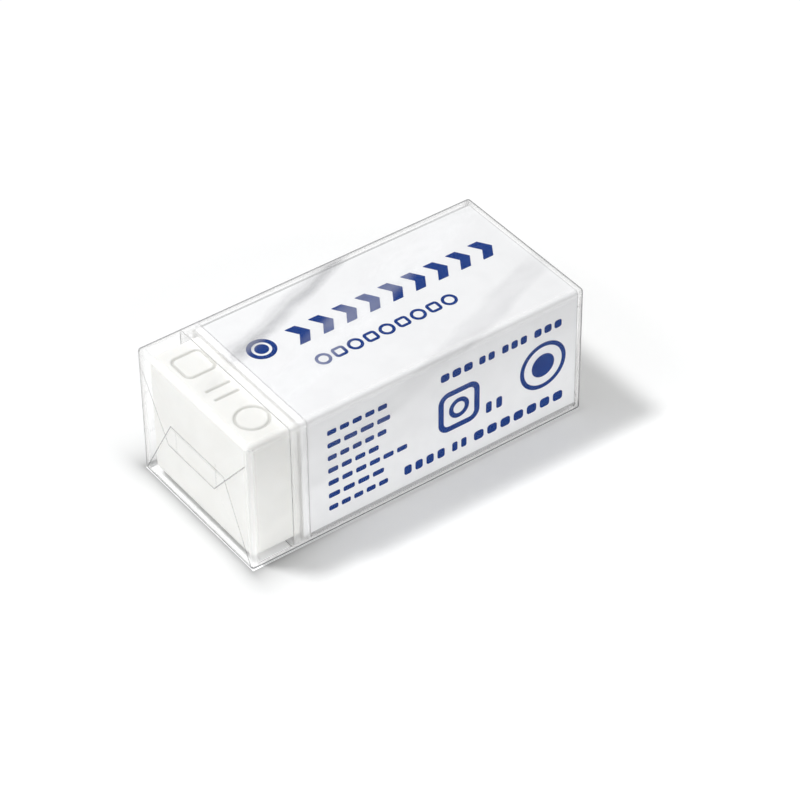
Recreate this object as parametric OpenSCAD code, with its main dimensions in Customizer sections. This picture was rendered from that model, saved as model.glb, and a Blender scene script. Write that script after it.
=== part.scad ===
// Small vinyl eraser in a printed card sleeve, sealed in clear film with a tear strip.
// X runs along the length, with the bare end of the block at -X. Z is up.
// The origin is the centre of the film's underside.

/* [Eraser block] */
// Length of the vinyl block
block_l = 33.4; // [24:0.1:60]
// Width of the vinyl block
block_w = 14.5; // [12:0.1:28]
// Height of the vinyl block
block_h = 11.9; // [10.5:0.1:20]
// Radius of the block's moulded edges
block_r = 0.5; // [0.3:0.1:1.4]
// Width of the sunk lines moulded in the block's top
mark_line = 0.25; // [0.2:0.05:0.5]
// Depth of the sunk lines
mark_depth = 0.15; // [0.05:0.05:0.4]
// Width over the ring mark and the square mark
mark_size = 3.1; // [2:0.1:4]
// Corner radius of the square mark
mark_r = 0.7; // [0.5:0.05:0.9]
// Distance from the block's end to the centre of the marks
mark_inset = 2.55; // [2.2:0.05:5]
// Distance from the block's sides to the centres of the ring and the square
mark_side = 3; // [2.4:0.1:4]
// Length of the bar marks between them
bar_l = 2.4; // [1.5:0.1:4]
// Distance between the bar marks
bar_pitch = 1.3; // [0.8:0.1:1.5]

/* [Card sleeve] */
// Thickness of the card
card_t = 0.3; // [0.2:0.05:0.5]
// Clearance between the card and the block
card_fit = 0.05; // [0.02:0.01:0.2]
// Inside radius of the card's folds
fold_r = 0.1; // [0.05:0.05:0.3]
// Length of block that the sleeve leaves bare
bare_l = 4.85; // [3:0.05:12]
// Height of the glue flap inside the back panel
glue_flap = 6.5; // [3:0.5:9]
// Shortening of the glue flap at its free edge, at each end
flap_taper = 2.5; // [0.5:0.5:5]
// Height of the back panel's free edge above the sleeve's underside
card_seam = 0.6; // [0.5:0.05:1.5]

/* [Film wrap] */
// Thickness of the film
film_t = 0.03; // [0.02:0.005:0.06]
// Clearance between the film and the card
film_gap = 0.25; // [0.1:0.05:0.6]
// Clearance between the film and the block's ends
end_gap = 0.3; // [0.1:0.05:0.8]
// Inside radius of the film's long corners
film_r = 0.35; // [0.15:0.05:0.6]
// Height of the long seam's outer edge above the film's underside
seam_low = 3.6; // [2:0.2:5]
// Width of the overlap at the long seam
seam_lap = 4.5; // [2:0.5:6]
// Height of the bottom end flap, which lies outermost
low_flap = 7.7; // [5:0.1:9.5]
// Width of the bottom end flap at its free edge
low_flap_edge = 7.8; // [3:0.1:10]
// Sideways lean of the bottom end flap towards the front
low_flap_lean = 0.4; // [-1:0.1:1]
// Length of the bottom end flap's straight sides, before it narrows
low_flap_straight = 0.3; // [0.1:0.1:3]
// Height of the top end flap, which lies under the bottom one
top_flap = 8; // [5:0.1:9.5]
// Width of the top end flap at its free edge
top_flap_edge = 6.8; // [3:0.1:10]
// Sideways lean of the top end flap towards the back
top_flap_lean = 0.7; // [-1:0.1:1]
// Length of the top end flap's straight sides, before it narrows
top_flap_straight = 1.9; // [0.1:0.1:3]
// Depth of the side tucks, which lie under both flaps
tuck_depth = 5.2; // [4:0.1:5.5]
// Height of the side tucks at their free edge
tuck_edge = 2.6; // [1:0.1:5]

/* [Tear strip] */
// Width of the tear strip
strip_w = 1.7; // [1:0.1:3]
// Thickness of the tear strip
strip_t = 0.05; // [0.02:0.01:0.08]
// Distance from the card's cut edge to the strip's edge over the bare block
strip_lead = 1.1; // [0:0.05:2]
// Length of the pull tongue past the long seam's edge
tongue_l = 1.6; // [1.4:0.1:1.8]
// Extra width of the pull tongue on each side of the strip
tongue_side = 0.3; // [0.1:0.1:0.4]

/* [Hidden] */
$fn = 64;
cut = 1;

sleeve_l = block_l - bare_l;
sleeve_w = block_w + 2 * card_fit + 3 * card_t;
sleeve_h = block_h + 2 * card_fit + 2 * card_t;
end_layers = 3;
film_l = block_l + 2 * end_gap + 2 * end_layers * film_t;
film_w = sleeve_w + 2 * film_gap + 3 * film_t;
film_h = sleeve_h + 2 * film_gap + 2 * film_t;
block_x = -block_l / 2;
sleeve_x = block_x + bare_l;
sleeve_y = -film_w / 2 + film_t + film_gap;
sleeve_z = film_t + film_gap;
block_y = sleeve_y + card_t + card_fit;
block_z = sleeve_z + card_t + card_fit;
seam_top = seam_low + seam_lap;
strip_x = sleeve_x - strip_lead;

// Stands a profile drawn in Y and Z along X, from x to x + length.
module along_x(x, length)
    translate([x, 0, 0]) rotate([90, 0, 90]) linear_extrude(length) children();

// A rectangle with round corners, from its lower left corner.
module round_rect(w, h, r) {
    translate([r, 0]) square([w - 2 * r, h]);
    translate([0, r]) square([w, h - 2 * r]);
    for (x = [r, w - r], y = [r, h - r]) translate([x, y]) circle(r);
}

// A closed band of thickness t inside a round rectangle, with inside radius r.
module band(w, h, t, r)
    difference() {
        round_rect(w, h, r + t);
        translate([t, t]) round_rect(w - 2 * t, h - 2 * t, r);
    }

// The section of a sheet wrapped round into a tube. On the back its outer end comes down
// to the height low, over its inner end, which reaches up to the height high.
module wrapped(w, h, t, r, low, high) {
    difference() {
        band(w, h, t, r);
        translate([w / 2, -cut]) square([w, low + cut]);
    }
    intersection() {
        band(w - t, h, t, r);
        translate([w / 2, -cut]) square([w, high + cut]);
    }
}

// The area that the wrapped sheet's section covers, inside included.
module wrapped_area(w, h, t, r, low) {
    round_rect(w - t, h, r + t);
    intersection() {
        round_rect(w, h, r + t);
        translate([0, low]) square([w, h]);
    }
}

// A box rounded along all its edges, from its lowest corner.
module round_box(l, w, h, r)
    intersection() {
        linear_extrude(h) round_rect(l, w, r);
        along_x(0, l) round_rect(w, h, r);
        translate([0, w, 0]) rotate([90, 0, 0]) linear_extrude(w) round_rect(l, h, r);
    }

// The sunk outlines in the block's top: a ring, a round square and two bars between them.
module marks() {
    middle = block_w / 2;
    translate([mark_inset, mark_side]) difference() {
        circle(d = mark_size);
        circle(d = mark_size - 2 * mark_line);
    }
    translate([mark_inset - mark_size / 2, block_w - mark_side - mark_size / 2])
        band(mark_size, mark_size, mark_line, mark_r - mark_line);
    for (side = [-1, 1])
        translate([mark_inset - bar_l / 2, middle + side * bar_pitch / 2 - mark_line / 2])
            square([bar_l, mark_line]);
}

module eraser_block()
    color([0.97, 0.97, 0.955])
    translate([block_x, block_y, block_z]) difference() {
        round_box(block_l, block_w, block_h, block_r);
        translate([0, 0, block_h - mark_depth]) linear_extrude(mark_depth + cut) marks();
    }

// The glue flap's tapered corner at one end, cut out of the flap alone.
module flap_corner()
    translate([0, sleeve_w - card_t, 0]) rotate([90, 0, 0]) linear_extrude(card_t)
        polygon([
            [-cut, card_t + fold_r], [0, card_t + fold_r],
            [flap_taper, glue_flap], [flap_taper, glue_flap + cut], [-cut, glue_flap + cut]
        ]);

module card_sleeve()
    color([0.98, 0.985, 0.99])
    translate([sleeve_x, sleeve_y, sleeve_z]) difference() {
        along_x(0, sleeve_l)
            wrapped(sleeve_w, sleeve_h, card_t, fold_r, card_seam, glue_flap);
        flap_corner();
        translate([sleeve_l, 0, 0]) mirror([1, 0, 0]) flap_corner();
    }

// A flap folded in over the end: full width from its root at y = 0 up to the height
// straight, and edge wide at height h.
module flap(h, edge, lean, straight)
    polygon([
        [0, 0], [film_w, 0], [film_w, straight],
        [film_w / 2 + lean + edge / 2, h], [film_w / 2 + lean - edge / 2, h], [0, straight]
    ]);

// A side tuck, folded in from the front at x = 0.
module tuck()
    polygon([
        [0, 0], [tuck_depth, (film_h - tuck_edge) / 2],
        [tuck_depth, (film_h + tuck_edge) / 2], [0, film_h]
    ]);

// One layer of the folded end, counted from the outermost, trimmed to the film's section.
module end_layer(layer)
    along_x(layer * film_t, film_t) intersection() {
        wrapped_area(film_w, film_h, film_t, film_r, seam_low);
        children();
    }

// The envelope fold that closes the end at -X: side tucks, then the top flap, then the
// bottom flap over it, with the turn of the bottom flap filling its way past the top one.
module end_fold() {
    end_layer(2) {
        tuck();
        translate([film_w, 0]) mirror([1, 0]) tuck();
    }
    end_layer(1) {
        translate([0, film_h]) mirror([0, 1])
            flap(top_flap, top_flap_edge, top_flap_lean, top_flap_straight);
        square([film_w, film_r + film_t]);
    }
    end_layer(0) flap(low_flap, low_flap_edge, -low_flap_lean, low_flap_straight);
}

// The pull tongue: the strip's stretch of the seam's outer layer, run on past its edge.
module tongue() {
    w = strip_w + 2 * tongue_side;
    translate([strip_x - tongue_side, film_w, 0]) rotate([90, 0, 0]) linear_extrude(film_t) {
        translate([0, seam_low - tongue_l + w / 2]) square([w, tongue_l]);
        translate([w / 2, seam_low - tongue_l + w / 2]) circle(d = w);
    }
}

module film_wrap()
    color([0.85, 0.88, 0.9, 0.35])
    translate([0, -film_w / 2, 0]) {
        along_x(-film_l / 2 + 2 * film_t, film_l - 4 * film_t)
            wrapped(film_w, film_h, film_t, film_r, seam_low, seam_top);
        translate([-film_l / 2, 0, 0]) end_fold();
        translate([film_l / 2, 0, 0]) mirror([1, 0, 0]) end_fold();
        tongue();
    }

module tear_strip()
    color([0.93, 0.94, 0.95, 0.6])
    translate([0, film_t - film_w / 2, film_t])
        along_x(strip_x, strip_w)
            band(film_w - 3 * film_t, film_h - 2 * film_t, strip_t, film_r - strip_t);

eraser_block();
card_sleeve();
film_wrap();
tear_strip();
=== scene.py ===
from math import cos, pi, radians, sin, tan

import bmesh
import bpy
import numpy as np
from mathutils import Matrix, Vector


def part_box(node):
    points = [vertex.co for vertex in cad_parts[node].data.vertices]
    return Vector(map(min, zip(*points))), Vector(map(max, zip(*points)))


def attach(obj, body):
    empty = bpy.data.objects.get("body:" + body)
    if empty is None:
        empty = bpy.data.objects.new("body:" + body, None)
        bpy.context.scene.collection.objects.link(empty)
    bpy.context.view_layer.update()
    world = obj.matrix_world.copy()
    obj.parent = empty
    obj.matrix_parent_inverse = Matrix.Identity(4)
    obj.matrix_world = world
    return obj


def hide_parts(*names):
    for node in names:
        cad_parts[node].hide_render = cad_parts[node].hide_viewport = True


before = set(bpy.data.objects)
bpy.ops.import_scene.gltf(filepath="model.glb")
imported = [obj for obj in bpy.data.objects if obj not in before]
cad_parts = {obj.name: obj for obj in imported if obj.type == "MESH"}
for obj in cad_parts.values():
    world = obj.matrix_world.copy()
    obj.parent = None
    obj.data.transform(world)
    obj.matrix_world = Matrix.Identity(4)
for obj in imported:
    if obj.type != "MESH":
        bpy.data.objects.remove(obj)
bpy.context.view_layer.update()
mm = 0.001
weld = 2e-7  # metres; points nearer than this are one
farOff = 10.0  # a distance at which no edge line is drawn


def nodeBox(name):
    lo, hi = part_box(name)
    return np.array(lo) / mm, np.array(hi) / mm


blockLo, blockHi = nodeBox("eraser_block")
sleeveLo, sleeveHi = nodeBox("card_sleeve")
filmLo, filmHi = nodeBox("film_wrap")
stripLo, stripHi = nodeBox("tear_strip")


# 0 below lo, 1 above hi, and 3t^2 - 2t^3 between them
def smoothstep(lo, hi, value):
    t = np.clip((value - lo) / (hi - lo), 0, 1)
    return t * t * (3 - 2 * t)


# Quads between neighbours of a grid of rows x columns points, numbered row by row;
# around joins the last column to the first, over joins the last row to the first
def gridFaces(rows, columns, around=False, over=False):
    r, c = np.meshgrid(np.arange(rows - (not over)), np.arange(columns - (not around)), indexing="ij")
    nextRow, nextColumn = (r + 1) % rows, (c + 1) % columns
    return np.stack([r * columns + c, r * columns + nextColumn,
                     nextRow * columns + nextColumn, nextRow * columns + c], -1).reshape(-1, 4)


# Walks the corner points clockwise, with even steps on the straights and each corner swapped for an arc:
# a turn by angle a at radius r starts r*tan(a/2) before the corner, and its centre lies inside a right turn
# and outside a left one. Gives points, outward normals, the index of each side's first point, the distance
# along the path to the nearest turn's middle, and which turn that is.
def roundedPath(corners, radius, step, arcSteps=4, closed=True):
    corners = np.asarray(corners, float)
    count = len(corners)
    sides = count if closed else count - 1
    along = np.roll(corners, -1, 0) - corners
    along /= np.linalg.norm(along, axis=1)[:, None]
    before = np.roll(along, 1, 0)
    bend = np.arccos(np.clip((along * before).sum(1), -1, 1))
    hand = np.where(before[:, 0] * along[:, 1] - before[:, 1] * along[:, 0] > 0, -1, 1)
    points, normals, firsts, total = [], [], [], 0
    for k in range(sides):
        nxt, a = (k + 1) % count, along[k]
        out = np.array([-a[1], a[0]])
        turnBefore, turnAfter = closed or k > 0, closed or k < sides - 1
        cutBefore = radius * tan(bend[k] / 2) * turnBefore
        cutAfter = radius * tan(bend[nxt] / 2) * turnAfter
        start, end = corners[k] + a * cutBefore, corners[nxt] - a * cutAfter
        angleIn = np.linspace(bend[k] / 2, 0, arcSteps + 1)[:, None] if turnBefore else np.zeros((1, 1))
        angleOut = np.linspace(0, bend[nxt] / 2, arcSteps + 1)[:-1, None] if turnAfter else np.zeros((1, 1))
        straight = np.linspace(0, 1, max(2, int(np.ceil(np.linalg.norm(end - start) / step)) + 1))[1:-1, None]
        normalIn = out * np.cos(angleIn) - hand[k] * a * np.sin(angleIn)
        normalOut = out * np.cos(angleOut) + hand[nxt] * a * np.sin(angleOut)
        points += [start + radius * hand[k] * (normalIn - out), start + (end - start) * straight,
                   end + radius * hand[nxt] * (normalOut - out)]
        normals += [normalIn, out + 0 * straight, normalOut]
        firsts.append(total)
        total += len(angleIn) + len(straight) + len(angleOut)
    points, normals = np.concatenate(points), np.concatenate(normals)
    reach = np.linalg.norm(np.diff(points, axis=0, append=points[:1]), axis=1)
    run = np.concatenate([[0], np.cumsum(reach)])
    turns = np.append(run[firsts], run[-1]) if closed else run[firsts[1:]]
    gaps = np.abs(run[:-1, None] - turns[None, :])
    return points, normals, firsts, gaps.min(1), gaps.argmin(1) % (count if closed else count - 2)


# A closed solid from two facing sheets of rows x columns points: both sheets and a wall round their edge
def sheetSolid(outer, inner):
    rows, columns = outer.shape[:2]
    loop = np.concatenate([outer, inner[:, ::-1]], 1)
    faces = [gridFaces(rows, 2 * columns, around=True)]
    c = np.arange(columns - 1)
    cap = np.stack([c, 2 * columns - 1 - c, 2 * columns - 2 - c, c + 1], -1)
    last = (rows - 1) * 2 * columns
    faces += [cap, last + cap[:, ::-1]]
    return loop.reshape(-1, 3), np.concatenate(faces)


# A closed ring from closed curves of equal length, joined one to the next and the last to the first
def ringSolid(curves):
    grid = np.stack(curves)
    return grid.reshape(-1, 3), gridFaces(len(grid), grid.shape[1], around=True, over=True)


# Several point and face arrays as one
def joined(parts):
    starts = np.cumsum([0] + [len(p) for p, _ in parts[:-1]])
    return np.concatenate([p for p, _ in parts]), np.concatenate([f + s for (_, f), s in zip(parts, starts)])


# Values are attributes of three numbers for each point, or for each corner of each face
def addPiece(name, points, faces, material, slotName, values=None, closed=True, sharp=40):
    mesh = bpy.data.meshes.new(name)
    mesh.vertices.add(len(points))
    mesh.vertices.foreach_set("co", (points * mm).astype(np.float32).ravel())
    mesh.loops.add(faces.size)
    mesh.loops.foreach_set("vertex_index", faces.astype(np.int32).ravel())
    mesh.polygons.add(len(faces))
    mesh.polygons.foreach_set("loop_start", np.arange(len(faces), dtype=np.int32) * 4)
    for key, data in (values or {}).items():
        layer = mesh.attributes.new(key, "FLOAT_VECTOR", "CORNER" if len(data) == faces.size else "POINT")
        layer.data.foreach_set("vector", data.astype(np.float32).ravel())
    mesh.update(calc_edges=True)
    bm = bmesh.new()
    bm.from_mesh(mesh)
    bmesh.ops.remove_doubles(bm, verts=bm.verts, dist=weld)
    if closed:
        bmesh.ops.recalc_face_normals(bm, faces=bm.faces)
    bm.to_mesh(mesh)
    bm.free()
    mesh.shade_smooth()
    mesh.set_sharp_from_angle(angle=radians(sharp))
    piece = bpy.data.objects.new(name, mesh)
    bpy.context.scene.collection.objects.link(piece)
    mesh.materials.append(material)
    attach(piece, "root")
    return piece


def newMaterial(name):
    material = bpy.data.materials.new(name)
    material.use_nodes = True
    material.node_tree.nodes.clear()
    return material, material.node_tree


# Adds a node: each entry of inputs is a socket to link or a value to set, keyed by the input's name or number
def addNode(tree, kind, inputs=None, **settings):
    made = tree.nodes.new(kind)
    for key, value in settings.items():
        setattr(made, key, value)
    for key, value in (inputs or {}).items():
        if isinstance(value, bpy.types.NodeSocket):
            tree.links.new(value, made.inputs[key])
        else:
            made.inputs[key].default_value = value
    return made


def maths(tree, operation, a, b=0.0, clamp=False):
    return addNode(tree, "ShaderNodeMath", {0: a, 1: b}, operation=operation, use_clamp=clamp).outputs[0]


def plus(tree, a, b, clamp=False):
    return maths(tree, "ADD", a, b, clamp)


def times(tree, first, *factors):
    product = first
    for factor in factors:
        product = maths(tree, "MULTIPLY", product, factor)
    return product


def mapRange(tree, value, lo, hi, toLo=0.0, toHi=1.0, smooth=True):
    kind = "SMOOTHSTEP" if smooth else "LINEAR"
    ends = {"Value": value, "From Min": lo, "From Max": hi, "To Min": toLo, "To Max": toHi}
    return addNode(tree, "ShaderNodeMapRange", ends, interpolation_type=kind, clamp=True).outputs[0]


# A pattern's coordinates in millimetres, scaled and turned in object space
def objectCoords(tree, scale=(1, 1, 1), turn=(0, 0, 0)):
    place = addNode(tree, "ShaderNodeTexCoord").outputs["Object"]
    inputs = {"Vector": place, "Scale": [s / mm for s in scale], "Rotation": turn}
    return addNode(tree, "ShaderNodeMapping", inputs).outputs[0]


# The place in object space, and its X, Y and Z, all in metres
def objectPlace(tree):
    place = addNode(tree, "ShaderNodeTexCoord").outputs["Object"]
    return place, *addNode(tree, "ShaderNodeSeparateXYZ", {0: place}).outputs


# The three numbers that the mesh holds under this name
def heldValues(tree, name):
    held = addNode(tree, "ShaderNodeAttribute", attribute_name=name)
    return addNode(tree, "ShaderNodeSeparateXYZ", {0: held.outputs["Vector"]}).outputs


def noise(tree, coords, scale, detail=2.0, rough=0.5):
    inputs = {"Vector": coords, "Scale": scale, "Detail": detail, "Roughness": rough}
    return addNode(tree, "ShaderNodeTexNoise", inputs).outputs["Fac"]


def bumpNormal(tree, height, strength, distance):
    inputs = {"Height": height, "Strength": strength, "Distance": distance * mm}
    return addNode(tree, "ShaderNodeBump", inputs).outputs[0]


# A colour socket takes a link, or three numbers and an alpha of 1
def asColour(colour):
    return colour if isinstance(colour, bpy.types.NodeSocket) else (*colour, 1)


def mixColour(tree, factor, a, b, clamp=True):
    inputs = {0: factor, 6: asColour(a), 7: asColour(b)}
    return addNode(tree, "ShaderNodeMix", inputs, data_type="RGBA", clamp_factor=clamp).outputs[2]


def diffuse(tree, colour):
    return addNode(tree, "ShaderNodeBsdfDiffuse", {"Color": asColour(colour)}).outputs[0]


def transparent(tree):
    return addNode(tree, "ShaderNodeBsdfTransparent").outputs[0]


def mixShaders(tree, factor, a, b):
    return addNode(tree, "ShaderNodeMixShader", {0: factor, 1: a, 2: b}).outputs[0]


def finishMaterial(tree, shader):
    addNode(tree, "ShaderNodeOutputMaterial", {"Surface": shader})


cameraLook = {"azimuth": -35.97, "elevation": 40.371, "roll": -0.587, "target": (-24.886, -39.471, 43.732),
              "distance": 220, "lens": 149.18, "sensor": 36, "clip": (0.01, 10)}


# Back points from the target to the camera; right and up are turned about it by the roll
def addCamera(look):
    az, el, roll = (radians(look[k]) for k in ("azimuth", "elevation", "roll"))
    back = Vector((sin(az) * cos(el), -cos(az) * cos(el), sin(el)))
    level = Vector((cos(az), sin(az), 0))
    upright = back.cross(level)
    right = level * cos(roll) + upright * sin(roll)
    up = upright * cos(roll) - level * sin(roll)
    place = (Vector(look["target"]) + back * look["distance"]) * mm
    camera = bpy.data.objects.new("camera", bpy.data.cameras.new("camera"))
    bpy.context.scene.collection.objects.link(camera)
    camera.matrix_world = Matrix.Translation(place) @ Matrix((right, up, back)).transposed().to_4x4()
    camera.data.lens = look["lens"]
    camera.data.sensor_width = look["sensor"]
    camera.data.clip_start, camera.data.clip_end = look["clip"]
    bpy.context.scene.camera = camera


addCamera(cameraLook)
print("camera placed")


# sunk is the grey of the painted shade down in the sunk marks
vinylLook = {"colour": (0.93, 0.93, 0.905), "shade": (0.9, 0.9, 0.872), "sunk": (0.66, 0.655, 0.63),
             "cloud": 0.35, "grain": 9.0, "grainShare": 0.25, "wave": 0.5, "bump": (0.35, 0.04),
             "roughness": 0.62, "specular": 0.35, "scatter": 0.12, "scatterReach": 0.6}


# Matt vinyl: a noise mixes the colours, and painted shade makes the sunk marks darker with their depth; fine
# grain and slow waves make the bump
def vinylMaterial(look):
    material, tree = newMaterial("vinyl")
    coords = objectCoords(tree)
    cloud = mapRange(tree, noise(tree, coords, look["cloud"], 3), 0.35, 0.7)
    grain = noise(tree, coords, look["grain"], 4, 0.65)
    height = plus(tree, times(tree, grain, look["grainShare"]), noise(tree, coords, look["wave"], 1))
    colour = mixColour(tree, cloud, look["colour"], look["shade"])
    # painted shade: the colour turns towards the sunk grey with the depth of the marks
    depth = heldValues(tree, "sunk")[0]
    shader = addNode(tree, "ShaderNodeBsdfPrincipled", {
        "Base Color": mixColour(tree, depth, colour, look["sunk"]),
        "Roughness": mapRange(tree, grain, 0.3, 0.7, look["roughness"] - 0.06, look["roughness"] + 0.08),
        "Subsurface Weight": look["scatter"], "Subsurface Radius": (1.0, 0.9, 0.8),
        "Subsurface Scale": look["scatterReach"] * mm,
        "Specular IOR Level": look["specular"], "Normal": bumpNormal(tree, height, *look["bump"])})
    finishMaterial(tree, shader.outputs[0])
    return material


# line, lineIn, lineOut and lineAlpha set the grey line of painted shade at the card's cut ends and creases
cardLook = {"colour": (0.93, 0.935, 0.945), "shade": (0.905, 0.91, 0.92), "edge": (0.55, 0.54, 0.52),
            "line": (0.42, 0.42, 0.42), "lineIn": 0.03, "lineOut": 0.1, "lineAlpha": 0.75,
            "cloud": 0.5, "fibre": 3.0, "fibreShare": 0.3, "layers": 2.0, "wave": 0.4, "bump": (0.25, 0.03),
            "roughness": 0.42, "specular": 0.3}


# Coated card: white face with a faint fibre bump, grey layered board where the sheet is cut, and a thin
# grey line of painted shade at its cut ends and creases. The attribute cut holds the cut flag and both
# distances.
def cardMaterial(look):
    material, tree = newMaterial("card")
    coords = objectCoords(tree)
    fibre = noise(tree, objectCoords(tree, (0.6, 3, 3)), look["fibre"], 5, 0.6)
    cloud = mapRange(tree, noise(tree, coords, look["cloud"], 3), 0.35, 0.7)
    isCut, toEnd, toCrease = heldValues(tree, "cut")
    layers = mapRange(tree, noise(tree, objectCoords(tree, (1, 9, 9)), look["layers"], 3), 0.3, 0.7)
    board = mixColour(tree, layers, look["edge"], [0.8 * c for c in look["edge"]])
    nearest = maths(tree, "MINIMUM", toEnd, toCrease)
    # painted shade: a grey line near the cut ends and creases
    line = times(tree, mapRange(tree, nearest, look["lineIn"], look["lineOut"], 1.0, 0.0), look["lineAlpha"])
    face = mixColour(tree, line, mixColour(tree, cloud, look["colour"], look["shade"]), look["line"])
    height = plus(tree, times(tree, fibre, look["fibreShare"]), noise(tree, coords, look["wave"], 1))
    shader = addNode(tree, "ShaderNodeBsdfPrincipled", {
        "Base Color": mixColour(tree, isCut, face, board),
        "Roughness": mapRange(tree, fibre, 0.3, 0.7, look["roughness"] - 0.05, look["roughness"] + 0.07),
        "Specular IOR Level": look["specular"], "Normal": bumpNormal(tree, height, *look["bump"])})
    finishMaterial(tree, shader.outputs[0])
    return material


inkLook = {"colour": (0.004, 0.034, 0.205), "thin": (0.009, 0.05, 0.25), "thinFrom": 0.42, "thinTo": 0.68,
           "speck": 7.0, "cloud": 0.8, "bump": (0.15, 0.01), "roughness": 0.6, "specular": 0.12}


# Printing ink: deep blue, thinner in small clouds and speckles
def inkMaterial(look):
    material, tree = newMaterial("ink")
    coords = objectCoords(tree)
    speck = noise(tree, coords, look["speck"], 4, 0.7)
    cloud = noise(tree, coords, look["cloud"], 2)
    thin = plus(tree, times(tree, speck, 0.6), times(tree, cloud, 0.4))
    thin = mapRange(tree, thin, look["thinFrom"], look["thinTo"])
    shader = addNode(tree, "ShaderNodeBsdfPrincipled", {
        "Base Color": mixColour(tree, thin, look["colour"], look["thin"]), "Roughness": look["roughness"],
        "Specular IOR Level": look["specular"], "Normal": bumpNormal(tree, speck, *look["bump"])})
    finishMaterial(tree, shader.outputs[0])
    return material


# A soft grey line of painted shade where any of the three distances held in the attribute edges comes near 0
def edgeLine(tree, lineIn, lineOut):
    first, second, third = heldValues(tree, "edges")
    nearest = maths(tree, "MINIMUM", maths(tree, "MINIMUM", first, second), third)
    return mapRange(tree, nearest, lineIn, lineOut, 1.0, 0.0)


# Milky plastic, also laid on the film's folds as painted highlight: more than half scatters the light back,
# the rest passes it on
def milkAndHighlightShader(tree, colour):
    through = addNode(tree, "ShaderNodeBsdfTranslucent", {"Color": asColour(colour)}).outputs[0]
    return mixShaders(tree, 0.4, diffuse(tree, colour), through)


# the bands' whitish colour is haze with painted sheen, and shadow is the grey of the painted shadow bands
filmLook = {"hazeSheenShade": (0.84, 0.845, 0.85), "shadow": (0.42, 0.42, 0.435), "bandTurn": 22, "bandDrop": 0.85,
            "bands": ((-10.2, 0.0), (-9.3, 0.1), (-8.0, 0.08), (-7.2, 0.0), (-1.2, 0.0), (0.1, 0.16),
                      (1.7, 0.12), (3.0, 0.0), (4.9, 0.0), (6.0, 0.32), (6.6, 0.14), (7.6, 0.0)),
            "dimFront": (-6.0, -4.5), "dimBack": (3.4, 4.6), "wobble": 0.22, "wobbleWidth": 1.6, "patch": 0.3,
            "besideTop": 0.3, "besideCard": 0.4,
            # roll is the white of the painted highlight on the folds
            "roll": (0.97, 0.97, 0.97), "rollIn": 0.3, "rollOut": 0.62, "rollAlpha": 0.75,
            "gloss": 0.004, "grazing": 0.3, "roughness": 0.07, "ripple": 0.45, "bump": (0.4, 0.05),
            # line is the grey of the painted shade lines, darker low down as painted contact shadow
            "line": (0.16, 0.165, 0.17), "lineIn": 0.02, "lineOut": 0.1, "lineTop": 0.47, "lineLow": 0.88,
            "lineFacing": 0.3}


# A grey level that follows a value through stops of (value, level)
def levelRamp(tree, value, levels):
    lo, hi = levels[0][0], levels[-1][0]
    ramp = addNode(tree, "ShaderNodeValToRGB", {0: mapRange(tree, value, lo, hi, smooth=False)})
    ramp.color_ramp.interpolation = "EASE"
    stops = ramp.color_ramp.elements
    for i, (at, level) in enumerate(levels):
        stop = stops[i] if i < 2 else stops.new((at - lo) / (hi - lo))
        stop.position, stop.color = (at - lo) / (hi - lo), (level, level, level, 1)
    return ramp.outputs[0]


# Diagonal bands of haze with painted sheen, by the distance across them, where the front's height stands for
# the top's depth. They are strongest on top over the card. The ones at the back and at the front's foot are
# dimmed to the grey of painted shadow.
def hazeAndPaintedBands(tree, look, x, y, z):
    a = radians(look["bandTurn"])
    across = plus(tree, times(tree, x, -sin(a) / mm), times(tree, y, cos(a) / mm))
    down = times(tree, maths(tree, "SUBTRACT", z, filmHi[2] * mm), 1 / mm)
    across = plus(tree, across, times(tree, down, look["bandDrop"]))
    wobble = maths(tree, "SUBTRACT", noise(tree, objectCoords(tree), look["wobble"], 2), 0.5)
    across = plus(tree, across, times(tree, wobble, look["wobbleWidth"]))
    patch = noise(tree, objectCoords(tree, (0.4, 1, 1), (0, 0, -a)), look["patch"], 2)
    patch = mapRange(tree, patch, 0.3, 0.6, 0.45, 1.0)
    offEnd = mapRange(tree, x, (filmLo[0] + 0.2) * mm, (filmLo[0] + 1.5) * mm)
    onTop = mapRange(tree, z, (filmHi[2] - 0.9) * mm, (filmHi[2] - 0.3) * mm, look["besideTop"], 1.0)
    onCard = mapRange(tree, x, (sleeveLo[0] - 0.5) * mm, (sleeveLo[0] + 1) * mm, look["besideCard"], 1.0)
    hazeSheenShade = times(tree, levelRamp(tree, across, look["bands"]), patch, offEnd, onTop, onCard)
    dimFront = mapRange(tree, across, *look["dimFront"], 1.0, 0.0)
    dim = plus(tree, mapRange(tree, across, *look["dimBack"]), dimFront, clamp=True)
    # painted sheen and painted shadow: whitish bands, and grey ones where dim is high
    veil = diffuse(tree, mixColour(tree, dim, look["hazeSheenShade"], look["shadow"]))
    return mixShaders(tree, hazeSheenShade, transparent(tree), veil)


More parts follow.
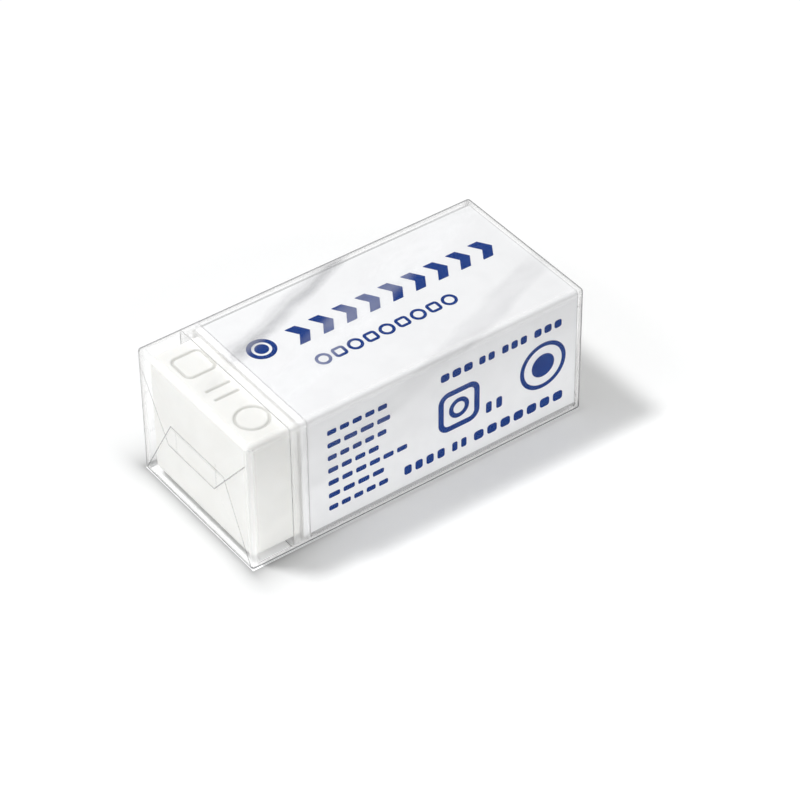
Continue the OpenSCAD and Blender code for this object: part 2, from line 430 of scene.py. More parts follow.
# Clear film: bands of haze with painted sheen and painted shadow, a gloss that grows as facing^5 towards
# grazing angles, rolls whitened by painted highlight where it is folded, and grey lines of painted shade at
# folds and free edges, darkest low down and where the film is seen edge on
def filmMaterial(look):
    material, tree = newMaterial("clear_film")
    x, y, z = objectPlace(tree)[1:]
    body = hazeAndPaintedBands(tree, look, x, y, z)
    toTurn, toEnd, whiteness = heldValues(tree, "rolls")
    nearest = maths(tree, "MINIMUM", toTurn, toEnd)
    # painted highlight: white near the folds, as much as the rolls attribute gives
    roll = mapRange(tree, nearest, look["rollIn"], look["rollOut"], look["rollAlpha"], 0.0)
    body = mixShaders(tree, times(tree, roll, whiteness), body, milkAndHighlightShader(tree, look["roll"]))
    facing = addNode(tree, "ShaderNodeLayerWeight", {"Blend": 0.5}).outputs["Facing"]
    rim = plus(tree, times(tree, maths(tree, "POWER", facing, 5.0), look["grazing"]), look["gloss"])
    ripples = noise(tree, objectCoords(tree, (0.5, 1, 1)), look["ripple"], 3)
    gloss = addNode(tree, "ShaderNodeBsdfAnisotropic", {
        "Color": (1, 1, 1, 1), "Roughness": look["roughness"],
        "Normal": bumpNormal(tree, ripples, *look["bump"])})
    body = mixShaders(tree, rim, body, gloss.outputs[0])
    # the grey lines are painted shade: darker low down as painted contact shadow, and where the film is seen
    # edge on
    lowDown = mapRange(tree, z, 0.4 * mm, 1.4 * mm, look["lineLow"], look["lineTop"])
    edgeOn = mapRange(tree, facing, 0.25, 0.7, look["lineFacing"], 1.0)
    line = times(tree, edgeLine(tree, look["lineIn"], look["lineOut"]), times(tree, lowDown, edgeOn))
    finishMaterial(tree, mixShaders(tree, line, body, diffuse(tree, look["line"])))
    return material


stripLook = {"colour": (0.97, 0.97, 0.97), "line": (0.2, 0.2, 0.205), "lineIn": 0.03, "lineOut": 0.12,
             "lineAlpha": 0.5, "alpha": 0.3, "alphaSpread": 0.03, "gloss": 0.02, "roughness": 0.25}


# Tear strip: a milky veil, streaked along the strip, with a denser grey line of painted shade along both
# edges
def stripMaterial(look):
    material, tree = newMaterial("tear_strip")
    streaks = noise(tree, objectCoords(tree, (6, 0.5, 0.5)), 1.0, 3)
    thin, thick = look["alpha"] - look["alphaSpread"], look["alpha"] + look["alphaSpread"]
    veil = mapRange(tree, streaks, 0.3, 0.7, thin, thick)
    # painted shade: a grey line along both edges
    line = times(tree, edgeLine(tree, look["lineIn"], look["lineOut"]), look["lineAlpha"])
    milky = milkAndHighlightShader(tree, mixColour(tree, line, look["colour"], look["line"]))
    body = mixShaders(tree, plus(tree, veil, line, clamp=True), transparent(tree), milky)
    gloss = addNode(tree, "ShaderNodeBsdfAnisotropic", {
        "Color": (0.95, 0.95, 0.95, 1), "Roughness": look["roughness"]})
    finishMaterial(tree, mixShaders(tree, look["gloss"], body, gloss.outputs[0]))
    return material


vinyl, card, ink = vinylMaterial(vinylLook), cardMaterial(cardLook), inkMaterial(inkLook)
clearFilm, milkyStrip = filmMaterial(filmLook), stripMaterial(stripLook)
print("materials made")


blockShape = {"round": 0.5, "arcRows": 6, "fine": 0.065, "coarse": 0.9, "rowsUp": 12,
              "swell": 0.012, "swellTurns": (0.42, 0.5, 0.37),
              "markLine": 0.25, "markDepth": 0.15, "markSize": 3.1, "markRound": 0.7, "markInset": 2.55,
              "markSide": 3.0, "barLength": 2.4, "barPitch": 1.3, "barRound": 0.05,
              "soft": 0.05, "margin": 0.3}


# Signed distance to a round rectangle: outside it, the distance to its core less the radius
def rectDistance(x, y, cx, cy, halfX, halfY, radius):
    qx, qy = np.abs(x - cx) - halfX + radius, np.abs(y - cy) - halfY + radius
    return np.hypot(np.maximum(qx, 0), np.maximum(qy, 0)) + np.minimum(np.maximum(qx, qy), 0) - radius


# Depth of the sunk lines at (x, y), by the nearest of the ring, the round square and the two bars: the full
# depth times 1 - smoothstep(distance), so the walls are soft
def markDepth(x, y, s):
    cx = blockLo[0] + s["markInset"]
    front, back = blockLo[1] + s["markSide"], blockHi[1] - s["markSide"]
    middle = (blockLo[1] + blockHi[1]) / 2
    half, line = s["markSize"] / 2, s["markLine"] / 2
    near = np.abs(np.hypot(x - cx, y - front) - half + line) - line
    near = np.minimum(near, np.abs(rectDistance(x, y, cx, back, half, half, s["markRound"]) + line) - line)
    for side in (-1, 1):
        at = middle + side * s["barPitch"] / 2
        near = np.minimum(near, rectDistance(x, y, cx, at, s["barLength"] / 2, line, s["barRound"]))
    return s["markDepth"] * (1 - smoothstep(-s["soft"], s["soft"], near))


# Ticks along one axis of the box: over the rounded rims radius * (1 - tan a) for even angles a, which makes
# the arc even, and the given steps between them
def boxTicks(lo, hi, s, inner):
    rim = s["round"] * (1 - np.tan(np.linspace(pi / 4, 0, s["arcRows"] + 1)))
    return np.concatenate([lo + rim, inner, hi - rim[::-1]])


# Each face of the outer box is a grid, and every point moves to core + radius * unit way out, where core is
# the nearest point of the box less its radius. The steps are fine over the marks. A slow swell of two sines
# keeps the faces from being dead flat.
def blockMesh(s):
    lo, hi, r = blockLo, blockHi, s["round"]
    markEnd = lo[0] + s["markInset"] + s["markSize"] / 2 + s["margin"]
    fineX = np.arange(lo[0] + r + s["fine"], markEnd, s["fine"])
    coarseX = np.linspace(markEnd, hi[0] - r, int((hi[0] - r - markEnd) / s["coarse"]))[:-1]
    fineY = np.linspace(lo[1] + r, hi[1] - r, int((hi[1] - lo[1]) / s["fine"]))[1:-1]
    evenZ = np.linspace(lo[2] + r, hi[2] - r, s["rowsUp"])[1:-1]
    inner = (np.concatenate([fineX, coarseX]), fineY, evenZ)
    ticks = [boxTicks(lo[axis], hi[axis], s, inner[axis]) for axis in range(3)]
    turnX, turnY, turnZ = s["swellTurns"]
    parts, depths = [], []
    for axis in range(3):
        u, v = (axis + 1) % 3, (axis + 2) % 3
        for side in (0, 1):
            gu, gv = np.meshgrid(ticks[u], ticks[v], indexing="ij")
            q = np.empty(gu.shape + (3,))
            q[..., u], q[..., v], q[..., axis] = gu, gv, (lo, hi)[side][axis]
            core = np.clip(q, lo + r, hi - r)
            way = q - core
            way /= np.linalg.norm(way, axis=-1, keepdims=True)
            p = core + r * way
            slow = np.sin(p[..., 0] * turnX + 1) * np.sin(p[..., 1] * turnY + p[..., 2] * turnZ)
            p += way * s["swell"] * slow[..., None]
            depth = np.zeros(p.shape)
            if axis == 2 and side == 1:
                depth[..., 0] = markDepth(p[..., 0], p[..., 1], s)
                p[..., 2] -= depth[..., 0]
            faces = gridFaces(*gu.shape)
            parts.append((p.reshape(-1, 3), faces if side else faces[:, ::-1]))
            depths.append(depth.reshape(-1, 3) / s["markDepth"])
    return joined(parts), np.concatenate(depths)


# sunk holds each point's share of the mark depth, which the vinyl turns into painted shade
(points, faces), sunk = blockMesh(blockShape)
block = addPiece("block", points, faces, vinyl, "vinyl", values={"sunk": sunk}, sharp=60)
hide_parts("eraser_block")
print("block", len(block.data.polygons), "faces")


sleeveShape = {"card": 0.3, "foldInside": 0.1, "glueFlap": 6.5, "taper": 2.5, "taperFrom": 0.5,
               "seamLow": 0.6, "step": 0.8, "arcSteps": 4, "rows": 36, "creaseHalf": 0.2}


# The sheet's middle line runs from the glue flap down, under, up the front, over, and down the back;
# the sheet is that line moved out and in by half the card, and its length along X shrinks on the glue flap
def sleeveMesh(s):
    t = s["card"]
    back, front = sleeveHi[1] - t / 2, sleeveLo[1] + t / 2
    low, high = sleeveLo[2] + t / 2, sleeveHi[2] - t / 2
    corners = [(back - t, sleeveLo[2] + s["glueFlap"]), (back - t, low), (front, low),
               (front, high), (back, high), (back, sleeveLo[2] + s["seamLow"])]
    radius = s["foldInside"] + t / 2
    line, out, firsts, toTurn, turn = roundedPath(corners, radius, s["step"], s["arcSteps"], closed=False)
    outer, inner = line + out * t / 2, line - out * t / 2
    flap = np.arange(len(line)) < firsts[1]
    up = np.clip((line[:, 1] - low - s["taperFrom"]) / (s["glueFlap"] - s["taperFrom"]), 0, 1)
    cut = np.where(flap, s["taper"] * up, 0)
    share = np.linspace(0, 1, s["rows"])[:, None]
    long = sleeveHi[0] - sleeveLo[0] - 2 * cut
    x = sleeveLo[0] + cut + long * share
    sheets = [np.concatenate([x[..., None], np.broadcast_to(side, x.shape + (2,))], -1)
              for side in (outer, inner)]
    # the cut flag, and the distances to the cut ends and to every crease but the soft one, which is turn 2,
    # at the top of the front; the card draws its grey line of painted shade by these distances
    crease = np.maximum(toTurn - s["creaseHalf"], 0) + farOff * (turn == 2)
    held = np.stack(np.broadcast_arrays(0.0, np.minimum(share, 1 - share) * long, crease), -1)
    points, faces = sheetSolid(*sheets)
    held = np.concatenate([held, held[:, ::-1]], 1).reshape(-1, 3)
    # the cut faces are the caps, which come last, and the walls at both free edges
    columns = 2 * len(line)
    caps = columns - 2
    place = np.arange(len(faces) - caps) % columns
    isCut = np.concatenate([(place == columns // 2 - 1) | (place == columns - 1), np.ones(caps, bool)])
    atCorners = held[faces]
    atCorners[isCut] = (1, farOff, farOff)
    return points, faces, atCorners.reshape(-1, 3)


points, faces, cut = sleeveMesh(sleeveShape)
sleeve = addPiece("sleeve", points, faces, card, "card", values={"cut": cut}, sharp=40)
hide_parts("card_sleeve")
print("sleeve", len(sleeve.data.polygons), "faces")


printShape = {"proud": 0.02, "sunk": 0.01, "arcSteps": 5, "barStep": 0.5, "frameStep": 0.4,
              "arrowRound": 0.05, "arrowStep": 0.3, "arrowArcSteps": 3, "arrowArm": 0.3}


# An ink solid from its outline and a smaller one inside it, drawn at the top and the bottom of the ink.
# A filled shape's inner outline lies on its own spine, where both faces close.
def inkShape(outer, inner, face, s, filled=True):
    curves = []
    for flat, height in ((inner, s["proud"]), (outer, s["proud"]), (outer, -s["sunk"]), (inner, -s["sunk"])):
        if face == "top":
            curves.append(np.column_stack([flat, np.full(len(flat), sleeveHi[2] + height)]))
        else:
            curves.append(np.column_stack([flat[:, 0], np.full(len(flat), sleeveLo[1] - height), flat[:, 1]]))
    grid = np.stack(curves)
    return grid.reshape(-1, 3), gridFaces(4, len(outer), around=True, over=not filled)


# The corners of a rectangle, clockwise from its lower left
def rectCorners(cx, cy, w, h):
    left, right, low, high = cx - w / 2, cx + w / 2, cy - h / 2, cy + h / 2
    return [(left, low), (left, high), (right, high), (right, low)]


# A rounded bar with a spine along its longer side; each point of the outline is tied to the nearest point
# of the spine
def bar(cx, cy, w, h, radius, face, s):
    outer = roundedPath(rectCorners(cx, cy, w, h), radius, s["barStep"], s["arcSteps"])[0]
    reachX, reachY = max((w - h) / 2, 0), max((h - w) / 2, 0)
    spine = np.column_stack([np.clip(outer[:, 0], cx - reachX, cx + reachX),
                             np.clip(outer[:, 1], cy - reachY, cy + reachY)])
    return inkShape(outer, spine, face, s)


# Two circles about one centre; with no inner radius the ring is a filled disc
def ring(cx, cy, outerR, innerR, face, s, steps=64):
    a = np.linspace(0, 2 * pi, steps, endpoint=False)
    way = np.column_stack([np.cos(a), -np.sin(a)])
    return inkShape((cx, cy) + outerR * way, (cx, cy) + innerR * way, face, s, filled=innerR == 0)


# A square outline with round corners; the inner one keeps the outer one's points, moved in along the normals
def squareFrame(cx, cy, size, line, radius, face, s):
    outer, out = roundedPath(rectCorners(cx, cy, size, size), radius, s["frameStep"], s["arcSteps"])[:2]
    return inkShape(outer, outer - out * line, face, s, filled=False)


# An arrow-like chevron that points to +X: its spine runs at an even slope from both ends of the arms to the
# tip, at left + w/2 + depth * (1 - |y| / (h/2))
def chevron(cx, cy, w, h, depth, face, s):
    left, low, high = cx - (w + depth) / 2, cy - h / 2, cy + h / 2
    corners = [(left, low), (left + depth, cy), (left, high),
               (left + w, high), (left + w + depth, cy), (left + w, low)]
    outer = roundedPath(corners, s["arrowRound"], s["arrowStep"], s["arrowArcSteps"])[0]
    reach = h / 2 - w * s["arrowArm"]
    y = np.clip(outer[:, 1] - cy, -reach, reach)
    spine = np.column_stack([left + w / 2 + depth * (1 - np.abs(y) / (h / 2)), cy + y])
    return inkShape(outer, spine, face, s)


topPrint = {"roundel": (-8.85, 1.93, 1.3), "roundelLine": 0.42, "roundelDisc": 0.68,
            "bold": (-5.1, 13.9, 9), "boldY": 1.62, "boldHeight": 2.35, "boldWidth": 1.05, "boldDepth": 0.75,
            "thin": (-5.5, 7.4, 9), "thinY": -2.15, "thinSize": 0.72, "thinLine": 0.28,
            "squareLess": 0.2, "squareRound": 0.35}


def topShapes(t, s):
    x, y, r = t["roundel"]
    parts = [ring(x, y, r, r - t["roundelLine"], "top", s), ring(x, y, r - t["roundelDisc"], 0, "top", s)]
    for at in np.linspace(*t["bold"]):
        parts.append(chevron(at, t["boldY"], t["boldWidth"], t["boldHeight"], t["boldDepth"], "top", s))
    size, line = t["thinSize"], t["thinLine"]
    for i, at in enumerate(np.linspace(*t["thin"])):
        if i % 2:
            side = 2 * size - t["squareLess"]
            parts.append(squareFrame(at, t["thinY"], side, line, t["squareRound"], "top", s))
        else:
            parts.append(ring(at, t["thinY"], size, size - line, "top", s, 48))
    return joined(parts)


# The rows of dashes are (left, length, count), the list's rows (length, count) from listTop down
frontPrint = {"list": ((6.0, 5), (6.3, 4), (5.9, 5), (5.1, 4), (8.0, 6), (5.6, 4), (6.0, 5)),
              "listLeft": -9.2, "listTop": 10.55, "listPitch": 1.36, "listHeight": 0.5, "listGap": 0.36,
              "line": ((2.3, 3.3, 3), (6.3, 1.6, 2), (8.7, 2.6, 3), (12.1, 2.9, 3)),
              "lineZ": 10.45, "lineHeight": 0.8, "lineGap": 0.32,
              "low": ((-1.5, 4.2, 4), (3.5, 1.5, 2), (5.8, 9.5, 7)),
              "lowZ": 2.42, "lowHeight": 0.95, "lowGap": 0.4,
              "dashRound": 0.3, "square": (4.2, 6.55, 4.3, 0.55, 1.1), "squareRing": (1.05, 0.6),
              "dots": ((7.35, 4.95), (8.45, 4.95)), "dotShape": (0.6, 1.15, 0.2),
              "round": (13.1, 6.65, 2.45), "roundLine": 0.42, "roundDisc": 1.2}


# A run of equal dashes from left, with even gaps between them
def dashes(left, length, count, z, height, gap, rounding, s):
    w = (length - gap * (count - 1)) / count
    radius = min(w, height) * rounding
    return [bar(left + w / 2 + i * (w + gap), z, w, height, radius, "front", s) for i in range(count)]


def frontShapes(t, s):
    parts, rounding = [], t["dashRound"]
    for i, (length, count) in enumerate(t["list"]):
        z = t["listTop"] - i * t["listPitch"]
        parts += dashes(t["listLeft"], length, count, z, t["listHeight"], t["listGap"], rounding, s)
    for left, length, count in t["line"]:
        parts += dashes(left, length, count, t["lineZ"], t["lineHeight"], t["lineGap"], rounding, s)
    for left, length, count in t["low"]:
        parts += dashes(left, length, count, t["lowZ"], t["lowHeight"], t["lowGap"], rounding, s)
    x, z = t["square"][:2]
    parts += [squareFrame(*t["square"], "front", s), ring(x, z, *t["squareRing"], "front", s, 48)]
    for at in t["dots"]:
        parts.append(bar(*at, *t["dotShape"], "front", s))
    x, z, r = t["round"]
    parts += [ring(x, z, r, r - t["roundLine"], "front", s), ring(x, z, t["roundDisc"], 0, "front", s)]
    return joined(parts)


printTop = addPiece("print_top", *topShapes(topPrint, printShape), ink, "card")
printFront = addPiece("print_front", *frontShapes(frontPrint, printShape), ink, "card")
print("print", len(printTop.data.polygons) + len(printFront.data.polygons), "faces")


# the last two entries are how much painted highlight whitens each turn's roll and each end's roll
filmShape = {"film": 0.03, "cornerOut": 0.38, "endRound": 0.25, "arcSteps": 4, "step": 0.7, "rows": 56,
             "lapOut": 0.045, "lowFlap": (7.7, 7.8, -0.4, 0.3), "topFlap": (8.0, 6.8, 0.7, 1.9),
             "tuck": (5.2, 2.6), "tuckStraight": 0.05, "layers": (0.02, -0.05, -0.11), "settle": 0.8,
             "flapRows": (4, 15), "seam": (3.6, 8.1), "seamEnd": 0.1, "seamRows": 12, "plainEnd": 1.3,
             "tongue": (-12.1, 2.3, 2.0), "tongueGap": 0.01, "wave": 0.04,
             "waveTurns": (0.55, 0.4, 0.23, 0.5), "waveFrom": (0.3, 3), "lineHalf": 0.22, "endLineShare": 0.6,
             "turnHighlight": (0.6, 1.0, 0.2, 0.5), "endHighlight": (0.5, 0.5, 0.25, 0.5)}


# Distance from points to the line through p and q: the cross product with its unit direction
def lineDistance(points, p, q):
    d = (q - p) / np.linalg.norm(q - p)
    return np.abs((points[..., 0] - p[0]) * d[1] - (points[..., 1] - p[1]) * d[0])


# A flap from its root curve: on with full width over the straight part, then on straight lines to its free
# edge, while it steps out or in to its own layer. Also gives the distances to its cut edges and to its root.
def flapGrid(root, way, straight, edgeFrom, edgeTo, layer, s):
    way, edgeFrom, edgeTo = np.array(way), np.array(edgeFrom), np.array(edgeTo)
    near, on = s["flapRows"]
    high = abs(((edgeFrom + edgeTo) / 2 - root[len(root) // 2, 1:]) @ way)
    t = np.concatenate([np.linspace(0, straight, near)[:-1], np.linspace(straight, high, on)])[:, None, None]
    share = np.linspace(0, 1, len(root))[None, :, None]
    base = root[None, :, 1:]
    past = np.maximum(t - straight, 0) / (high - straight)
    edge = edgeFrom + (edgeTo - edgeFrom) * share
    flat = (base + way * np.minimum(t, straight)) * (1 - past) + edge * past
    x = root[None, :, :1] + layer * smoothstep(0, s["settle"], t) + 0 * share
    sides = [lineDistance(flat, p + way * straight, q)
             for p, q in ((root[0, 1:], edgeFrom), (root[-1, 1:], edgeTo))]
    edges = np.stack([*sides, lineDistance(flat, edgeFrom, edgeTo)], -1)
    return np.concatenate([x, flat], -1), edges, t + 0 * share


# The film's section, clockwise from the back's lower corner, with what roundedPath gives
def filmSection(s, step):
    back = filmHi[1] - s["lapOut"]
    corners = [(back, filmLo[2]), (filmLo[1], filmLo[2]), (filmLo[1], filmHi[2]), (back, filmHi[2])]
    return roundedPath(corners, s["cornerOut"], step, s["arcSteps"])


# The seam's outer layer on the back, from its lower edge with the pull tongue up to the inner layer's end.
# The tongue's end is the half circle tip + w/2 - sqrt(w^2/4 - x^2).
def seamLayer(s):
    end = filmHi[0] - s["endRound"] - s["seamEnd"]
    low, high = s["seam"]
    at, width, tip = s["tongue"]
    gap = s["tongueGap"]
    around = at - width / 2 * np.cos(np.linspace(0, pi, 25))
    before = np.linspace(-end, at - width / 2 - gap, 8)
    after = np.linspace(at + width / 2 + gap, end, 40)
    x = np.concatenate([before, around, after])
    onTongue = np.abs(x - at) <= width / 2 + 1e-9
    drop = np.sqrt(np.maximum(width ** 2 / 4 - (x - at) ** 2, 0))
    bottom = np.where(onTongue, tip + width / 2 - drop, low)
    z = bottom + (high - bottom) * np.linspace(0, 1, s["seamRows"])[:, None]
    layer = np.stack([np.broadcast_to(x, z.shape), np.full(z.shape, filmHi[1]), z], -1)
    sides = np.where(onTongue & (z < low), width / 2 - np.abs(x - at), farOff)
    plain = farOff * (x < s["plainEnd"] - filmHi[0])
    edges = np.stack([z - bottom + plain, high - z + plain, sides], -1)
    return layer.reshape(-1, 3), gridFaces(*z.shape), edges.reshape(-1, 3)


# The tube is the round section run along X, with both ends turned in by a quarter arc; each of its four
# sides goes on as a flap folded flat over the end. A slow ripple of two sines dies out towards the folds.
# Edges holds the distances that draw the grey lines of painted shade, rolls the distances to the folded
# edges and how much painted highlight whitens the roll there.
def filmMesh(s):
    line, out, firsts, toTurn, turn = filmSection(s, s["step"])
    r, half = s["endRound"], filmHi[0]
    angle = np.linspace(pi / 2, 0, 2 * s["arcSteps"] + 1)
    tube = np.linspace(-half + r, half - r, s["rows"])[1:-1]
    x = np.concatenate([-half + r - r * np.sin(angle), tube, half - r + r * np.sin(angle[::-1])])
    turnedIn = r * (1 - np.cos(angle))
    inset = np.concatenate([turnedIn, 0 * tube, turnedIn[::-1]])
    run = np.concatenate([[0], np.cumsum(np.hypot(np.diff(x), np.diff(inset)))])
    toEnd = np.abs(np.minimum(run, run[-1] - run) - r * pi / 4)
    fromEnd = np.minimum(x + half, half - x)
    away = smoothstep(*s["waveFrom"], toTurn)[None, :] * smoothstep(*s["waveFrom"], fromEnd)[:, None]
    a, b, c, d = s["waveTurns"]
    ripple = 0.5 + 0.25 * np.sin(x[:, None] * a + line[:, 0] * b)
    ripple = ripple + 0.25 * np.sin(x[:, None] * c - line[:, 1] * d + 1)
    depth = inset[:, None] + s["wave"] * away * ripple
    section = line[None] - out[None] * depth[..., None]
    grid = np.concatenate([np.broadcast_to(x[:, None, None], section.shape[:2] + (1,)), section], -1)
    # turns: 0 back low, 1 front low, 2 front top, 3 back top; sides: 0 under, 1 front, 2 top, 3 back
    side = np.searchsorted(firsts, np.arange(len(line)), side="right") - 1
    soft = (x[:, None] < 0) & ((side == 1) | (side == 2))[None, :]
    longLine = np.maximum(toTurn - s["lineHalf"], 0) + farOff * (turn == 2)
    endLine = np.maximum(toEnd - s["lineHalf"] * s["endLineShare"], 0)[:, None] + farOff * soft
    edges = np.stack(np.broadcast_arrays(longLine[None, :], endLine, farOff), -1)
    nearTurn = (toTurn[None, :] < toEnd[:, None])
    # how much painted highlight whitens each turn's roll and each end's roll
    veil = np.where(nearTurn, np.array(s["turnHighlight"])[turn], np.array(s["endHighlight"])[side])
    rolls = np.stack(np.broadcast_arrays(toTurn[None, :], toEnd[:, None], veil), -1)
    faces = gridFaces(len(x), len(line), around=True)
    parts, held, rolled = [(grid.reshape(-1, 3), faces)], [edges.reshape(-1, 3)], [rolls.reshape(-1, 3)]
    # each flap: its way in, its straight part with the turn, its free edge from and to, and its layer
    top, low = filmHi[2], filmLo[2]
    h, w, lean, straight = s["lowFlap"]
    topH, topW, topLean, topStraight = s["topFlap"]
    deep, edge = s["tuck"]
    edgeLow, edgeHigh = (low + top) / 2 - edge / 2, (low + top) / 2 + edge / 2
    tuckTurn = r + s["tuckStraight"]
    folds = [((0, 1), straight, (lean + w / 2, low + h), (lean - w / 2, low + h), 0),
             ((1, 0), tuckTurn, (filmLo[1] + deep, edgeLow), (filmLo[1] + deep, edgeHigh), 2),
             ((0, -1), topStraight, (topLean - topW / 2, top - topH), (topLean + topW / 2, top - topH), 1),
             ((-1, 0), tuckTurn, (filmHi[1] - deep, edgeHigh), (filmHi[1] - deep, edgeLow), 2)]
    for row, outward in ((0, -1), (-1, 1)):
        for k, (way, upright, edgeFrom, edgeTo, layer) in enumerate(folds):
            columns = np.arange(firsts[k], (firsts + [len(line)])[k + 1] + 1) % len(line)
            step = outward * s["layers"][layer]
            flap, flapEdges, fromRoot = flapGrid(grid[row, columns], way, upright - r,
                                                 edgeFrom, edgeTo, step, s)
            flapEdges += farOff * (layer == 2)  # the tucks lie hidden, so no lines are drawn for them
            quads = gridFaces(*flap.shape[:2])
            parts.append((flap.reshape(-1, 3), quads[:, ::-1] if outward < 0 else quads))
            held.append(flapEdges.reshape(-1, 3))
            # the flaps' rolls take their end's painted highlight
            flapRolls = [fromRoot + farOff, fromRoot + r * pi / 4, 0 * fromRoot + s["endHighlight"][k]]
            rolled.append(np.stack(flapRolls, -1).reshape(-1, 3))
    lap, quads, lapEdges = seamLayer(s)
    parts.append((lap, quads))
    held.append(lapEdges)
    rolled.append(np.full(lapEdges.shape, farOff))
    points, faces = joined(parts)
    return points, faces, {"edges": np.concatenate(held), "rolls": np.concatenate(rolled)}


points, faces, values = filmMesh(filmShape)
film = addPiece("film", points, faces, clearFilm, "film", values=values, closed=False)
wall = film.modifiers.new("wall", "SOLIDIFY")
wall.thickness, wall.offset = filmShape["film"] * mm, -1
film.visible_shadow = False  # clear film passes the light on
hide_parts("film_wrap")
print("film", len(film.data.polygons), "faces")


stripShape = {"under": 0.042, "thick": 0.045, "step": 0.7, "columns": 7, "waveShare": 0.6}


# A closed band just inside the film: closed curves side by side, out along its outer face and back along
# its inner one. It lies under the film by its own depth and a share of the film's ripple.
def stripMesh(s):
    line, out = filmSection(filmShape, s["step"])[:2]
    x = np.linspace(stripLo[0], stripHi[0], s["columns"])
    walls = [(at, s["under"]) for at in x] + [(at, s["under"] + s["thick"]) for at in x[::-1]]
    wave = filmShape["wave"] * s["waveShare"]
    curves = [np.column_stack([np.full(len(line), at), line - out * (depth + wave)]) for at, depth in walls]
    points, faces = ringSolid(curves)
    edge = np.minimum(points[:, 0] - x[0], x[-1] - points[:, 0])
    return points, faces, np.column_stack([edge, 0 * edge + farOff, 0 * edge + farOff])


points, faces, edges = stripMesh(stripShape)
strip = addPiece("strip", points, faces, milkyStrip, "strip", values={"edges": edges})
strip.visible_shadow = False
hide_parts("tear_strip")
print("strip", len(strip.data.polygons), "faces")


# contact and endShade give painted shadow on the floor; under and ahead give painted light
stageLook = {"floor": (0.9, 0.9, 0.9), "shown": (0.925, 0.93, 0.93), "glow": 0.035, "ambient": 0.495,
             "evenNear": 0.62, "evenFar": 1.5, "fadeFrom": 27, "fadeTo": 34, "side": 1500, "below": 0.02,
             "contact": 0.5, "contactReach": 0.9, "contactFlat": 0.5, "contactFrom": -17, "contactTo": -4,
             "under": 0.24, "endShade": 0.24, "ahead": 0.15, "aheadFrom": -14, "aheadTo": -17.5}
# Soft lamps: place, target, size along and up, power in watts. The key lamp stands behind on the left like a
# desk lamp; the other two fill in from low in front and from the left.
lampLook = {"key": ((-74, 71, 216), (0, 0, 7), (38, 38), 0.288),
            "front": ((2, -17, 0.6), (2, -8, 0.6), (54, 1), 0.00085),
            "left": ((-70, 0, 14), (-17, 0, 7), (16, 20), 0.0032)}


# Whether the ray comes from the camera, a reflection or a refraction
def seenDirectly(tree):
    path = addNode(tree, "ShaderNodeLightPath")
    seen = plus(tree, path.outputs["Is Camera Ray"], path.outputs["Is Glossy Ray"], clamp=True)
    return plus(tree, seen, path.outputs["Is Transmission Ray"], clamp=True)


# How far a place lies outside the wrap's rectangle on the floor, with the steps along Y counted short
def fromWrap(tree, x, y, flat):
    past = []
    for place, half in ((x, filmHi[0]), (y, filmHi[1])):
        over = maths(tree, "SUBTRACT", maths(tree, "ABSOLUTE", place), half * mm)
        past.append(maths(tree, "MAXIMUM", over, 0.0))
    squares = [maths(tree, "POWER", past[0], 2.0), maths(tree, "POWER", times(tree, past[1], flat), 2.0)]
    return maths(tree, "SQRT", plus(tree, *squares))


# Painted light given off by the floor under the wrap, standing for light let in by the film, less a painted
# shadow at the edge under the block's near end
def underWrap(tree, x, y, look):
    start, front = blockLo[0], blockLo[1]
    inward = mapRange(tree, x, (start - 0.25) * mm, (start + 0.05) * mm, 0.0, look["endShade"])
    onEnd = mapRange(tree, x, (start + 0.8) * mm, (start + 1.2) * mm, 1.0, 0.0)
    offSide = mapRange(tree, y, front * mm, (front + 0.5) * mm)
    return maths(tree, "SUBTRACT", look["under"], times(tree, inward, onEnd, offSide))


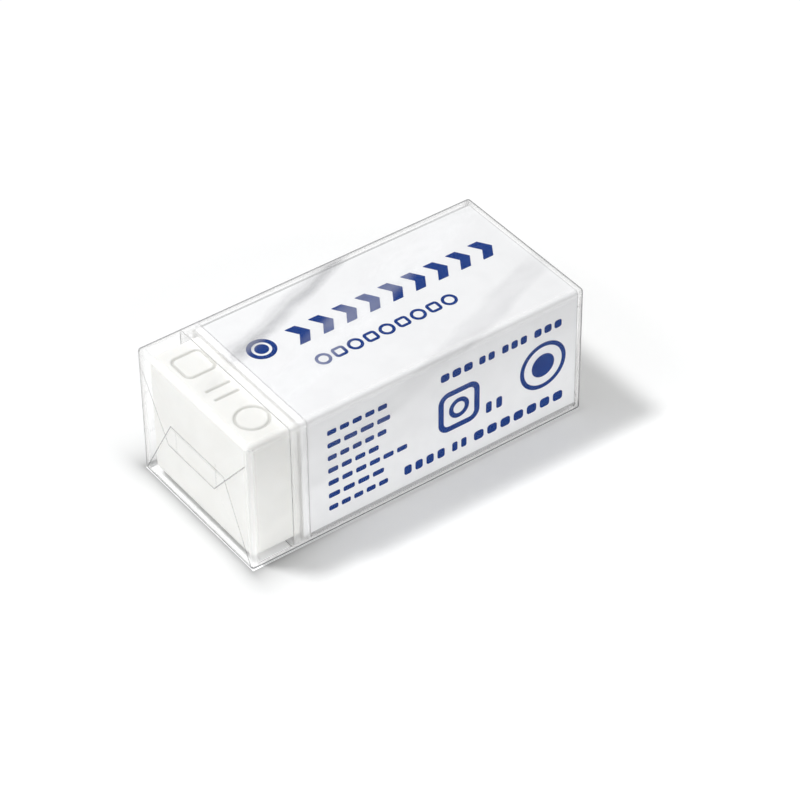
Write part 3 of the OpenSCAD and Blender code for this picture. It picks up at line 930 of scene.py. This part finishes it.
# The floor lights the object as pale paper, and is shown white with the object's shadow on it.
# Round the near end lies a painted contact shadow, which falls as exp(-distance / reach) from the wrap's
# rectangle. The shown floor is evened out for the key lamp, whose light falls as 1 / distance^3 on it. It is
# lifted by painted light a little ahead, where the front lamp's light ends, and far out it fades to the plain
# white of the backdrop.
def floorMaterial(look, keyPlace):
    material, tree = newMaterial("floor")
    place, x, y = objectPlace(tree)[:3]
    # painted contact shadow: the floor darkens near the wrap's near end
    distance = fromWrap(tree, x, y, look["contactFlat"])
    outside = maths(tree, "GREATER_THAN", distance, 0.0)
    shade = maths(tree, "EXPONENT", times(tree, distance, -1 / (look["contactReach"] * mm)))
    nearEnd = mapRange(tree, x, look["contactFrom"] * mm, look["contactTo"] * mm, look["contact"], 0.0)
    level = maths(tree, "SUBTRACT", 1.0, times(tree, shade, nearEnd, outside))
    lamp = [c * mm for c in keyPlace]
    toKey = addNode(tree, "ShaderNodeVectorMath", {0: place, 1: lamp}, operation="DISTANCE")
    share = maths(tree, "DIVIDE", toKey.outputs["Value"], Vector(keyPlace).length * mm)
    fall = maths(tree, "POWER", share, 3.0)
    even = times(tree, level, mapRange(tree, fall, 0.0, 2.0, look["evenNear"], look["evenFar"], smooth=False))
    reach = addNode(tree, "ShaderNodeVectorMath", {0: place}, operation="LENGTH").outputs["Value"]
    far = mapRange(tree, reach, look["fadeFrom"] * mm, look["fadeTo"] * mm)
    lightness = times(tree, even, maths(tree, "SUBTRACT", 1.0, far))
    shown = diffuse(tree, mixColour(tree, lightness, (0, 0, 0), look["shown"], clamp=False))
    # painted light under the wrap, less the painted shadow under the block's near end
    under = underWrap(tree, x, y, look)
    base = mapRange(tree, outside, 0.0, 1.0, under, look["glow"], smooth=False)
    # painted light lifts the floor ahead, where the front lamp's light ends
    ahead = mapRange(tree, y, look["aheadTo"] * mm, look["aheadFrom"] * mm, look["ahead"], 0.0)
    strength = plus(tree, times(tree, level, base), plus(tree, far, ahead))
    glow = addNode(tree, "ShaderNodeEmission", {"Color": (1, 1, 1, 1), "Strength": strength})
    lit = addNode(tree, "ShaderNodeAddShader", {0: shown, 1: glow.outputs[0]})
    finishMaterial(tree, mixShaders(tree, seenDirectly(tree), diffuse(tree, look["floor"]), lit.outputs[0]))
    return material


def addFloor(look):
    mesh = bpy.data.meshes.new("floor")
    side, low = look["side"] * mm, -look["below"] * mm
    corners = [(-side, -side, low), (side, -side, low), (side, side, low), (-side, side, low)]
    mesh.from_pydata(corners, [], [(0, 1, 2, 3)])
    mesh.materials.append(floorMaterial(look, lampLook["key"][0]))
    floor = bpy.data.objects.new("floor", mesh)
    bpy.context.scene.collection.objects.link(floor)


# The room gives soft even light and is seen as plain white
def addRoom(look):
    world = bpy.data.worlds.new("studio")
    bpy.context.scene.world = world
    world.use_nodes = True
    tree = world.node_tree
    tree.nodes.clear()
    white = (1, 1, 1, 1)
    lights = [addNode(tree, "ShaderNodeBackground", {"Color": white, "Strength": strength}).outputs[0]
              for strength in (look["ambient"], 1.0)]
    addNode(tree, "ShaderNodeOutputWorld", {"Surface": mixShaders(tree, seenDirectly(tree), *lights)})


def addLamp(name, place, target, size, power):
    lamp = bpy.data.objects.new(name, bpy.data.lights.new(name, "AREA"))
    lamp.data.shape = "RECTANGLE"
    lamp.data.size, lamp.data.size_y = size[0] * mm, size[1] * mm
    lamp.data.energy = power
    lamp.location = Vector(place) * mm
    lamp.rotation_euler = (Vector(place) - Vector(target)).to_track_quat("Z", "Y").to_euler()
    lamp.visible_camera = lamp.visible_glossy = lamp.visible_transmission = False
    bpy.context.scene.collection.objects.link(lamp)


addFloor(stageLook)
addRoom(stageLook)
for name, settings in lampLook.items():
    addLamp(name + "_lamp", *settings)
bpy.context.scene.view_settings.view_transform = "Standard"
bpy.context.scene.cycles.transparent_max_bounces = 32
print("stage set")
